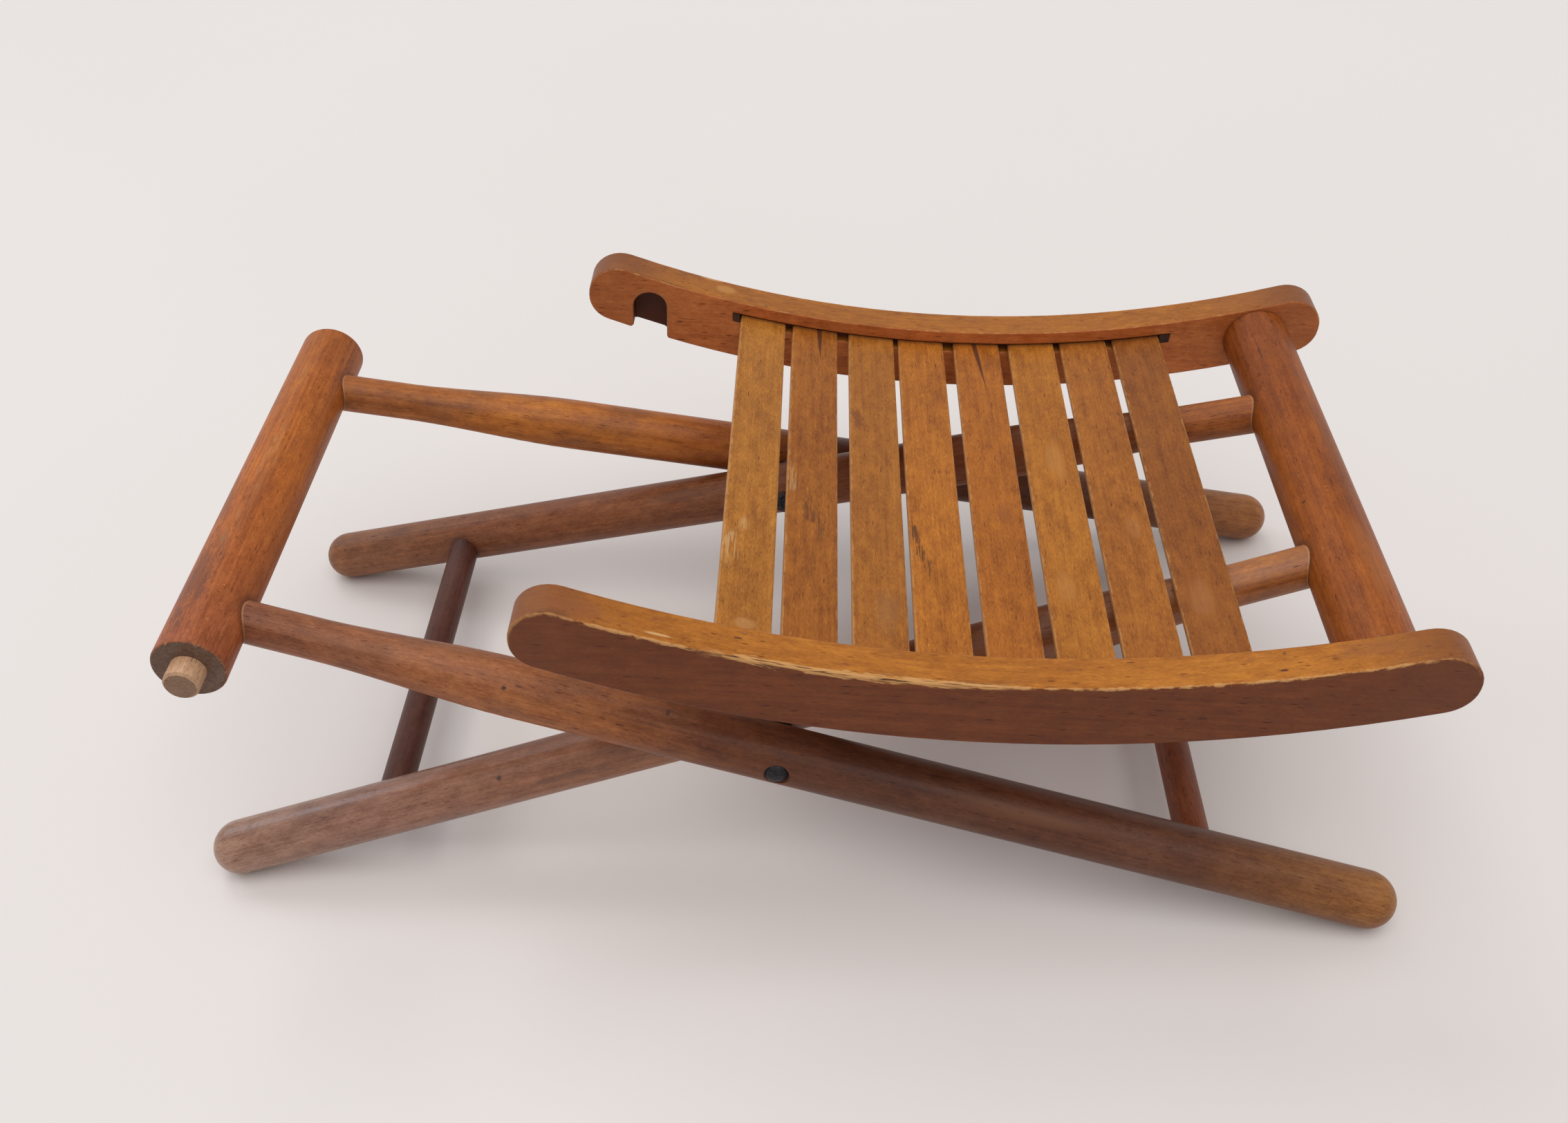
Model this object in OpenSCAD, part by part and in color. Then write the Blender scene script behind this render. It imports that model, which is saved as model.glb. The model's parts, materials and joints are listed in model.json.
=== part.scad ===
// A folding camping stool: two frames of turned legs crossed on rivets, and a slatted seat.
// The seat turns on dowels in the right crossbar and hooks over stubs on the left one.
// X runs from the hook bar to the seat bar, Y across the seat, Z up from the floor.
// The origin is on the floor under the rivets, midway between the feet.
// The stool stands unhooked and spread low, and the frames are set at leg_lean.

/* [Stance] */
// Angle of the legs above the floor as the stool stands
leg_lean = 14.95; // [12:0.05:22]
// Gap between the resting seat and the inner legs under its last slat
seat_rest_gap = 0.35; // [0.3:0.05:1]

/* [Crossbars] */
// Diameter of the two crossbars
bar_d = 32.6; // [28:0.2:38]
// Rounding of the crossbars' end rims
bar_rim = 1.2; // [0.5:0.1:2.5]
// Gap between a crossbar's end and the rail beside it
bar_end_gap = 0.4; // [0.3:0.1:1]

/* [Legs] */
// Distance from a crossbar's axis to the rivets, along the leg
leg_upper_len = 256; // [235:1:290]
// Distance from the rivets to the centre of the foot's dome, along the leg
leg_lower_len = 276.6; // [250:0.2:310]
// Diameter of the leg where it enters its crossbar
leg_neck_d = 19.2; // [16:0.2:23]
// Distance below the crossbar's axis at which the leg's slim neck ends
leg_neck_end = 45; // [20:1:70]
// Diameter of the leg from the rivets to the foot
leg_d = 26.8; // [23:0.2:28]
// Distance below the crossbar's axis at which the leg reaches its full diameter
leg_swell = 135; // [90:1:230]
// Length of the leg's tenon past the crossbar's axis
tenon_past = 8; // [3:0.5:10]
// Distance of an outer leg's axis from its crossbar's end
outer_leg_in = 33.8; // [30:0.1:40]
// How far an outer foot stands outside its leg's top
outer_splay = 50; // [42:0.5:56]
// How far an inner leg's top is set in from an outer leg's
inner_leg_in = 30.8; // [26:0.2:40]
// Least clearance between the crossing legs
leg_gap = 0.6; // [0.5:0.05:2]

/* [Stretchers] */
// Diameter of the stretcher dowels
stretcher_d = 15.8; // [12:0.2:18]
// Distance of a stretcher from the centre of the foot's dome, along the leg
stretcher_up = 80; // [60:1:110]
// How far a stretcher's end goes past the leg's axis
stretcher_past = 5; // [2:0.5:8]

/* [Dowels] */
// Diameter of the hook stubs and the seat's pivot dowels
dowel_d = 15.6; // [12:0.2:18]
// Depth of the dowels inside a crossbar
dowel_in = 20; // [14:0.5:24]
// Length of a hook stub outside its crossbar
stub_out = 10.4; // [8:0.2:11]
// Chamfer of the dowels' ends
dowel_chamfer = 1; // [0.4:0.1:2]
// Clearance round a pivot dowel, in the crossbar and in the rail
pivot_play = 0.08; // [0.05:0.01:0.1]

/* [Rivets] */
// Diameter of the rivet's shank
rivet_d = 6; // [4:0.2:8]
// Diameter of the rivet's head
rivet_head_d = 10.8; // [9:0.2:14]
// Height of the rivet's domed head above its seat
rivet_head_h = 2.4; // [1.6:0.1:4]
// Depth of the flat seat cut for the head, at the leg's crown
head_seat = 1.5; // [1:0.1:2.5]
// Spread and height of the rivet's peened inner end
peen = 1.4; // [0.8:0.1:2]
// Diameter of the washers on the rivet
washer_d = 13; // [11:0.5:16]
// Thickness of the washers on the rivet
washer_t = 2; // [1:0.1:2.6]
// Clearance round the rivet's shank
rivet_play = 0.08; // [0.05:0.01:0.1]
// Clearance beside the spacer washer, each side
washer_play = 0.25; // [0.1:0.05:0.4]

/* [Rails] */
// Clear width between the seat rails
seat_inner_w = 240; // [232:1:260]
// Distance from the pivot dowels' axis to the hook notches' axis
hook_span = 319; // [300:1:330]
// Thickness of a rail
rail_t = 17.5; // [15:0.5:22]
// Height of a rail
rail_h = 33.8; // [30:0.2:38]
// Radius of the rail's long curves
rail_r = 540; // [480:5:700]
// Depth of the rail's top below the chord between the axes, at its lowest
rail_sag = 6.2; // [2:0.2:8]
// Length of a rail beyond the axes at each end
rail_end = 32; // [28:0.5:36]
// Radius of the upper corner at a rail's end
rail_corner_top = 16; // [8:0.5:18]
// Radius of the lower corner at a rail's end
rail_corner_low = 14; // [8:0.5:16]
// Depth of the blind notch and pivot bore beyond the dowel's end
blind_gap = 0.8; // [0.4:0.1:2]
// Clearance round a hook stub in its notch
notch_play = 1; // [0.4:0.1:1.5]
// Rounding of the notch's mouth
notch_lip = 2; // [1:0.1:3]

/* [Slats] */
// Width of a slat
slat_w = 24; // [20:0.5:26]
// Thickness of a slat
slat_t = 4.5; // [4:0.25:6]
// Gap between neighbouring slats
slat_gap = 4.1; // [2:0.1:6]
// Depth of the slats' faces below the rails' tops
slat_drop = 7.4; // [4:0.2:10]
// Rounding of the slats' long edges
slat_edge = 1.2; // [0.4:0.1:2]
// Depth of the slat groove in the rails
groove_in = 5; // [3:0.5:6]
// Clearance of a slat in its groove, above, below and at its end
slat_play = 0.25; // [0.2:0.05:0.5]
// Length of the groove past the end slats, which plugs fill
groove_over = 5; // [2:0.5:8]

/* [Brads] */
// Diameter of the brads driven into the rails' tops
brad_d = 1.8; // [1:0.1:2.4]
// Length of the brads
brad_l = 15; // [10:1:20]
// How far the brads' heads stand out of the rail
brad_proud = 0.15; // [0.1:0.05:0.5]
// Distance of the brads from the rails' inner faces
brad_in = 3; // [2:0.5:5]
// Distance of the second brad past the last slat's edge
brad_past = 7.2; // [5:0.2:9]

/* [Hidden] */
$fn = 64;

// Glue line between pieces that are fixed in one another
glue = 0.05;
// Extra reach of a cutting body past the face it opens
cut = 1;

// Side of the stool: near is -Y, far is +Y
near = -1;
far = 1;

// Crossbars, rivets and feet in the X-Z plane
foot_r = leg_d / 2;
rivet_z = foot_r + leg_lower_len * sin(leg_lean);
bar_x = leg_upper_len * cos(leg_lean);
bar_z = rivet_z + leg_upper_len * sin(leg_lean);
foot_x = leg_lower_len * cos(leg_lean);
leg_run = leg_upper_len + leg_lower_len;
bar_len = seat_inner_w - 2 * bar_end_gap;
outer_top_y = bar_len / 2 - outer_leg_in;
outer_foot_y = outer_top_y + outer_splay;
inner_top_y = outer_top_y - inner_leg_in;

// Share of a leg's length at the rivets
rivet_share = leg_upper_len / leg_run;
outer_rivet_y = outer_top_y + (outer_foot_y - outer_top_y) * rivet_share;
outer_slope = (outer_foot_y - outer_top_y) / leg_run;
// Crossing legs are closest along the line square to both, which leans away from Y
cross_n = cross([cos(leg_lean), outer_slope, -sin(leg_lean)], [-cos(leg_lean), outer_slope, -sin(leg_lean)]);
inner_rivet_y = outer_rivet_y - (leg_d + leg_gap) * norm(cross_n) / abs(cross_n[1]);
inner_slope = (inner_rivet_y - inner_top_y) / leg_upper_len;
inner_foot_y = inner_top_y + inner_slope * leg_run;

// End points of the legs on the far side
outer_top = [-bar_x, outer_top_y, bar_z];
outer_foot = [foot_x, outer_foot_y, foot_r];
inner_top = [bar_x, inner_top_y, bar_z];
inner_foot = [-foot_x, inner_foot_y, foot_r];

// Rivet stack along Y
leg_skin = foot_r * sqrt(1 + outer_slope * outer_slope);
head_y = outer_rivet_y + leg_skin - head_seat;
spacer_y = (outer_rivet_y + inner_rivet_y) / 2;
spacer_room = washer_t + 2 * washer_play;
burr_y = inner_rivet_y - leg_skin + head_seat;
tail_y = burr_y - washer_play - washer_t;
washer_seat_d = washer_d + 2;
head_seat_d = rivet_head_d + 1;

// Radius of a leg at distance s below its crossbar's axis, with a soft S from the neck to the full leg
neck_r = leg_neck_d / 2;
tenon_ease = 1;
function swell_share(s) = min(1, max(0, (s - leg_neck_end) / (leg_swell - leg_neck_end)));
function leg_r(s) = let (u = swell_share(s)) neck_r + (foot_r - neck_r) * u * u * (3 - 2 * u);

// Number of slats, one node each
slat_n = 8;

// How far each slat has crept along the groove, as a share of the gap
creep = [-0.15, -0.3, 0.15, -0.25, 0.1, 0.3, 0.05, -0.2];

// Rail outline, in the seat's own X-Z plane with its middle under the chord's middle
seat_mid = -hook_span / 2;
rail_half = hook_span / 2 + rail_end;
top_centre_z = rail_r - rail_sag;
low_centre_z = top_centre_z - rail_h;
notch_r = dowel_d / 2 + notch_play;
notch_in = stub_out - bar_end_gap + blind_gap;
pivot_in = notch_in;
seat_dowel_out = bar_end_gap + pivot_in - blind_gap;
slat_pitch = slat_w + slat_gap;
slats_half = (slat_n * slat_pitch - slat_gap) / 2;
groove_half = slats_half + groove_over;
arc_step = 1.5;

// Height of a long curve whose lowest point is at height low, at distance x from the seat's middle
function curve_z(x, low) = low + rail_r - sqrt(rail_r * rail_r - x * x);

// The resting seat: the rounded lower edge of the last slat lies on the inner legs
function slat_x(i) = (i - (slat_n + 1) / 2) * slat_pitch + creep[i - 1] * slat_gap;
// How far slat i reaches from its middle along X, with its lower edge swung outwards by its lean
function slat_reach(i) =
    let (lean = abs(asin(slat_x(i) / rail_r)))
    slat_w / 2 * cos(lean) + slat_t * sin(lean);
last_x = slat_x(slat_n);
last_lean = asin(last_x / rail_r);
edge_out = slat_w / 2 - slat_edge;
edge_down = slat_t - slat_edge;
edge_from_bar = [
    hook_span / 2 - last_x - edge_out * cos(last_lean) - edge_down * sin(last_lean),
    -curve_z(last_x, -rail_sag - slat_drop) - edge_out * sin(last_lean) + edge_down * cos(last_lean)
];
edge_away = norm(edge_from_bar);
edge_rise = asin((leg_r(edge_away) + slat_edge + seat_rest_gap) / edge_away);
seat_tilt = atan2(edge_from_bar[1], edge_from_bar[0]) + edge_rise - leg_lean;

// Points of a circular arc from angle a to angle b
function arc(cx, cz, r, a, b, n) =
    [for (i = [0:n]) let (t = a + (b - a) * i / n) [cx + r * cos(t), cz + r * sin(t)]];

// Points along a long curve from distance a to distance b of the seat's middle
function long_curve(low, a, b) =
    let (n = max(4, ceil(abs(b - a) / (rail_r * arc_step * PI / 180))))
    [for (i = [0:n]) let (x = a + (b - a) * i / n) [x, curve_z(x, low)]];

// Rail outline: the lower curve, a rounded end, the upper curve and the other rounded end
corner_top_x = rail_half - rail_corner_top;
corner_top_z = top_centre_z - sqrt(pow(rail_r + rail_corner_top, 2) - pow(corner_top_x, 2));
corner_low_x = rail_half - rail_corner_low;
corner_low_z = low_centre_z - sqrt(pow(rail_r - rail_corner_low, 2) - pow(corner_low_x, 2));
top_touch = asin(corner_top_x / (rail_r + rail_corner_top));
low_touch = asin(corner_low_x / (rail_r - rail_corner_low));
function rail_end_points() = concat(
    arc(corner_low_x, corner_low_z, rail_corner_low, low_touch - 90, 0, 8),
    arc(corner_top_x, corner_top_z, rail_corner_top, 0, 90 + top_touch, 10)
);
function flipped(points) = [for (i = [len(points) - 1:-1:0]) [-points[i][0], points[i][1]]];
low_end = rail_r * sin(low_touch) - arc_step;
top_end = rail_r * sin(top_touch) - arc_step;
rail_points = concat(
    long_curve(-rail_sag - rail_h, -low_end, low_end),
    rail_end_points(),
    long_curve(-rail_sag, top_end, -top_end),
    flipped(rail_end_points())
);

// A band of the slat groove between two distances from the seat's middle, thinned by inset
function band_points(a, b, inset) = concat(
    long_curve(-rail_sag - slat_drop - slat_t - slat_play + inset, a, b),
    long_curve(-rail_sag - slat_drop + slat_play - inset, b, a)
);

// Lays the +Z axis of its children along the line from one point to another
module along(from, to) {
    d = to - from;
    translate(from) rotate([0, acos(d[2] / norm(d)), atan2(d[1], d[0])]) children();
}

// Puts its children in place on the near or the far side; they are drawn on the far side
module on_side(side) {
    mirror([0, side == near ? 1 : 0, 0]) children();
}

// A cylinder along +Y from y0 to y1, at x and z
module y_rod(x, z, r, y0, y1) {
    translate([x, y0, z]) rotate([-90, 0, 0]) cylinder(r=r, h=y1 - y0);
}

// Carries its children from the seat's own frame to where the seat is
module at_seat() {
    translate([bar_x, 0, bar_z]) rotate([0, seat_tilt, 0]) translate([seat_mid, 0, 0]) children();
}

// Extrudes a shape of the seat's X-Z plane along +Y from y0 to y1
module y_plate(y0, y1) {
    translate([0, y1, 0]) rotate([90, 0, 0]) linear_extrude(y1 - y0) children();
}

// Half outline of a leg, with its crossbar's axis at zero and the foot's dome at the end
module leg_outline(length) {
    steps = 10;
    step = (leg_swell - leg_neck_end) / steps;
    taper = [for (i = [0:steps]) [leg_r(leg_neck_end + step * i), leg_neck_end + step * i]];
    polygon(concat(
        [[0, -tenon_past], [neck_r - tenon_ease, -tenon_past], [neck_r, tenon_ease - tenon_past]],
        taper,
        arc(0, length, foot_r, 0, 90, 12)
    ));
}

// A leg on the far side, drilled for the rivet and the stretcher and seated for the washers
module leg(top, foot, rivet_y, outer_seat_d, outer_seat_y, inner_seat_d, inner_seat_y) {
    stretcher_at = foot + (top - foot) * stretcher_up / leg_run;
    difference() {
        along(top, foot) rotate_extrude() leg_outline(norm(foot - top));
        y_rod(0, rivet_z, rivet_d / 2 + rivet_play, rivet_y - 2 * leg_d, rivet_y + 2 * leg_d);
        y_rod(0, rivet_z, outer_seat_d / 2, outer_seat_y, outer_seat_y + leg_d);
        y_rod(0, rivet_z, inner_seat_d / 2, inner_seat_y - leg_d, inner_seat_y);
        y_rod(stretcher_at[0], stretcher_at[2], stretcher_d / 2 + glue,
            stretcher_at[1] - leg_d, stretcher_at[1] + stretcher_past + glue);
    }
}

// The outer leg takes the rivet's head outside and the spacer washer inside
module outer_leg(side) {
    color("#8a5130") on_side(side)
        leg(outer_top, outer_foot, outer_rivet_y,
            head_seat_d, head_y, washer_seat_d, spacer_y + spacer_room / 2);
}

// The inner leg takes the spacer washer outside and the peened end's washer inside
module inner_leg(side) {
    color("#7a472b") on_side(side)
        leg(inner_top, inner_foot, inner_rivet_y,
            washer_seat_d, spacer_y - spacer_room / 2, washer_seat_d, burr_y);
}

// A round bar along Y with eased rims
module round_bar(length, d, rim) {
    r = d / 2;
    rotate([-90, 0, 0]) rotate_extrude() polygon(concat(
        [[0, -length / 2]],
        arc(r - rim, rim - length / 2, rim, -90, 0, 5),
        arc(r - rim, length / 2 - rim, rim, 0, 90, 5),
        [[0, length / 2]]
    ));
}

// A crossbar with its leg sockets and the dowel holes in its ends
module crossbar(x, top, foot, dowel_hole_r) {
    difference() {
        translate([x, 0, bar_z]) round_bar(bar_len, bar_d, bar_rim);
        for (side = [near, far]) {
            on_side(side) {
                along(top, foot) translate([0, 0, -tenon_past - glue])
                    cylinder(d=leg_neck_d + 2 * glue, h=tenon_past + bar_d);
                y_rod(x, bar_z, dowel_hole_r, bar_len / 2 - dowel_in - glue, bar_len / 2 + cut);
            }
        }
    }
}

module crossbar_hook() {
    color("#a5622f") crossbar(-bar_x, outer_top, outer_foot, dowel_d / 2 + glue);
}

module crossbar_seat() {
    color("#9a5a30") crossbar(bar_x, inner_top, inner_foot, dowel_d / 2 + pivot_play);
}

// A dowel in the end of a crossbar, standing out of it by out
module end_dowel(x, out, side) {
    length = dowel_in + out;
    on_side(side) translate([x, bar_len / 2 - dowel_in, bar_z]) rotate([-90, 0, 0]) rotate_extrude() polygon([
        [0, 0],
        [dowel_d / 2 - dowel_chamfer, 0],
        [dowel_d / 2, dowel_chamfer],
        [dowel_d / 2, length - dowel_chamfer],
        [dowel_d / 2 - dowel_chamfer, length],
        [0, length]
    ]);
}

module hook_dowel(side) {
    color("#c9a273") end_dowel(-bar_x, stub_out, side);
}

module seat_dowel(side) {
    color("#b98d5c") end_dowel(bar_x, seat_dowel_out, side);
}

// A stretcher dowel through both legs of a frame
module stretcher(top, foot) {
    p = foot + (top - foot) * stretcher_up / leg_run;
    translate([p[0], 0, p[2]]) round_bar(2 * (p[1] + stretcher_past), stretcher_d, dowel_chamfer);
}

module outer_stretcher() {
    color("#6b3c28") stretcher(outer_top, outer_foot);
}

module inner_stretcher() {
    color("#6b3c28") stretcher(inner_top, inner_foot);
}

// Rivet with a domed head outside and a peened end inside
module rivet(side) {
    shank_r = rivet_d / 2;
    shank_l = head_y - tail_y;
    head_r = rivet_head_d / 2;
    dome_r = (rivet_head_h * rivet_head_h + head_r * head_r) / (2 * rivet_head_h);
    outline = concat(
        [[0, -peen]],
        arc(shank_r, 0, peen, -90, 0, 5),
        [[shank_r, 0], [shank_r, shank_l], [head_r, shank_l]],
        arc(0, shank_l + rivet_head_h - dome_r, dome_r, acos(head_r / dome_r), 90, 6)
    );
    color("#34363c") on_side(side)
        translate([0, tail_y, rivet_z]) rotate([-90, 0, 0]) rotate_extrude() polygon(outline);
}

// A washer on each rivet, with its middle at y
module rivet_washers(y) {
    for (side = [near, far])
        on_side(side) difference() {
            y_rod(0, rivet_z, washer_d / 2, y - washer_t / 2, y + washer_t / 2);
            y_rod(0, rivet_z, rivet_d / 2 + rivet_play, y - washer_t, y + washer_t);
        }
}

module rivet_spacers() {
    color("#50525a") rivet_washers(spacer_y);
}

module rivet_burrs() {
    color("#50525a") rivet_washers(tail_y + washer_t / 2);
}

// The open-mouthed notch at the hook end, in the seat's X-Z plane
module notch_shape() {
    x = -hook_span / 2;
    mouth = curve_z(x, -rail_sag - rail_h);
    translate([x, 0]) circle(r=notch_r);
    translate([x - notch_r, mouth - 2 * notch_r]) square([2 * notch_r, -mouth + 2 * notch_r]);
    // The mouth flares by the lip radius on both sides
    for (k = [-1, 1]) {
        edge = curve_z(x + k * (notch_r + notch_lip), -rail_sag - rail_h);
        difference() {
            translate([x + k * (notch_r + notch_lip / 2) - notch_lip / 2, edge - notch_lip])
                square([notch_lip, 2 * notch_lip]);
            translate([x + k * (notch_r + notch_lip), edge + notch_lip]) circle(r=notch_lip);
        }
    }
}

// A seat rail with its notch, pivot bore and slat groove, all cut from the inner face
module rail(side) {
    face = seat_inner_w / 2;
    color("#b0733a") on_side(side) at_seat() difference() {
        y_plate(face, face + rail_t) polygon(rail_points);
        y_plate(face - cut, face + notch_in) notch_shape();
        y_plate(face - cut, face + groove_in) polygon(band_points(-groove_half, groove_half, 0));
        y_rod(hook_span / 2, 0, dowel_d / 2 + pivot_play, face - cut, face + pivot_in);
    }
}

// Slat i of 1 to slat_n, flat and tangent to the groove's curve at its middle
module slat(i) {
    x = slat_x(i);
    half_len = seat_inner_w / 2 + groove_in - slat_play;
    lean = asin(x / rail_r);
    e = slat_edge;
    color(i % 2 == 0 ? "#b8783c" : "#c58a4a") at_seat()
        translate([x, 0, curve_z(x, -rail_sag - slat_drop)]) rotate([0, -lean, 0])
            translate([-slat_w / 2, 0, -slat_t]) y_plate(-half_len, half_len) polygon(concat(
                arc(e, e, e, 180, 270, 4),
                arc(slat_w - e, e, e, 270, 360, 4),
                arc(slat_w - e, slat_t - e, e, 0, 90, 4),
                arc(e, slat_t - e, e, 90, 180, 4)
            ));
}

// Plugs that close the groove past the end slats
module groove_plugs() {
    face = seat_inner_w / 2;
    first = slat_x(1) - slat_reach(1);
    last = slat_x(slat_n) + slat_reach(slat_n);
    color("#d2ab78") for (side = [near, far]) {
        on_side(side) at_seat() y_plate(face, face + groove_in - glue) {
            polygon(band_points(-groove_half + glue, first - slat_play, glue));
            polygon(band_points(last + slat_play, groove_half - glue, glue));
        }
    }
}

// Brads into the rails' tops, one over the first slat's end and one near the seat bar
module slat_brads() {
    color("#3a3230") for (side = [near, far]) {
        for (x = [slat_w / 2 - slats_half, slats_half + brad_past]) {
            on_side(side) at_seat()
                translate([x, seat_inner_w / 2 + brad_in, curve_z(x, -rail_sag) + brad_proud - brad_l])
                    cylinder(d=brad_d, h=brad_l);
        }
    }
}

crossbar_hook();
hook_dowel(near);  // hook_dowel_near
hook_dowel(far);  // hook_dowel_far
outer_leg(near);  // outer_leg_near
outer_leg(far);  // outer_leg_far
outer_stretcher();
rivet(near);  // rivet_near
rivet(far);  // rivet_far
rivet_spacers();
rivet_burrs();
crossbar_seat();
inner_leg(near);  // inner_leg_near
inner_leg(far);  // inner_leg_far
inner_stretcher();
seat_dowel(near);  // seat_dowel_near
seat_dowel(far);  // seat_dowel_far
rail(near);  // rail_near
rail(far);  // rail_far
slat(1);  // slat_1
slat(2);  // slat_2
slat(3);  // slat_3
slat(4);  // slat_4
slat(5);  // slat_5
slat(6);  // slat_6
slat(7);  // slat_7
slat(8);  // slat_8
groove_plugs();
slat_brads();
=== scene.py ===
import json
import math

import bpy
from mathutils import Matrix, Vector


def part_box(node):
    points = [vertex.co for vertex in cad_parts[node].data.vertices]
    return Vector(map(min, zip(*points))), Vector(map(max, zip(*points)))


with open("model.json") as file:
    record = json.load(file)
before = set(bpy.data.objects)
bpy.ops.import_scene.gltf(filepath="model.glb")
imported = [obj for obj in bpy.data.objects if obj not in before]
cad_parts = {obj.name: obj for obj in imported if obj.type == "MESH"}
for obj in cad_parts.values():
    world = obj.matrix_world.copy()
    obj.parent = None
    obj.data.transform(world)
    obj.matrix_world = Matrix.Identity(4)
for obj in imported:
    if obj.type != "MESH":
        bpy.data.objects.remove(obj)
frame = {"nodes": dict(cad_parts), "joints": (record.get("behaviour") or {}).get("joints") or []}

# Looks of a folding wooden stool: worn, varnished beech on a plain pale floor in soft light.
# Every material is procedural, its grain follows the piece, and its marks sit at places in millimetres.

MM = 0.001
nodes = frame["nodes"]
joints = {joint["name"]: joint for joint in frame["joints"]}
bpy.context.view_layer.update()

X_AXIS, Y_AXIS = Vector((1, 0, 0)), Vector((0, 1, 0))


def centre(node):
    low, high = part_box(node)
    return (Vector(low) + Vector(high)) / 2


# The seat's own frame: its origin in the CAD frame, and its tilt
SEAT_TILT = math.radians(4.468)
SEAT_ORIGIN = Vector((88.32, 0, 163.22)) * MM
SEAT_X = Vector((math.cos(SEAT_TILT), 0, -math.sin(SEAT_TILT)))
SEAT_Z = Vector((math.sin(SEAT_TILT), 0, math.cos(SEAT_TILT)))

# Sizes that the wear and the marks are placed by, in millimetres
RAIL_R, RAIL_SAG = 540, 6.2                       # the rail's top curve
RAIL_INNER, RAIL_OUTER = 120, 137.5               # the rail's faces, from the middle
CORNER_R, CORNER_X, CORNER_Z = 16, 175.5, 6.2     # the rail's upper corner
CORNER_TOUCH = 170.4                              # where that corner meets the top curve
NOTCH_X, NOTCH_R = -159.5, 8.8                    # the hook notch
NOTCH_FLOOR = 131                                 # the blind end of the notch, from the middle
SLAT_HALF_W, SLAT_HALF_L = 12, 119                # a slat, to 1 mm short of the rails
BAR_R, BAR_HALF = 16.3, 119.6                     # a crossbar
FOOT_R = 13.4                                     # the dome of a foot
LEG_SPAN = 560                                    # a leg, for its colours: a little over its length
LEG_Y = {"outer": (85.8, 135.8), "inner": (55.0, 108.4)}   # a leg's top and foot, from the middle
RIVET = Vector(joints["leg_fold"]["pos_m"])
HOOK_BAR, SEAT_BAR = centre("crossbar_hook"), centre("crossbar_seat")


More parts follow.
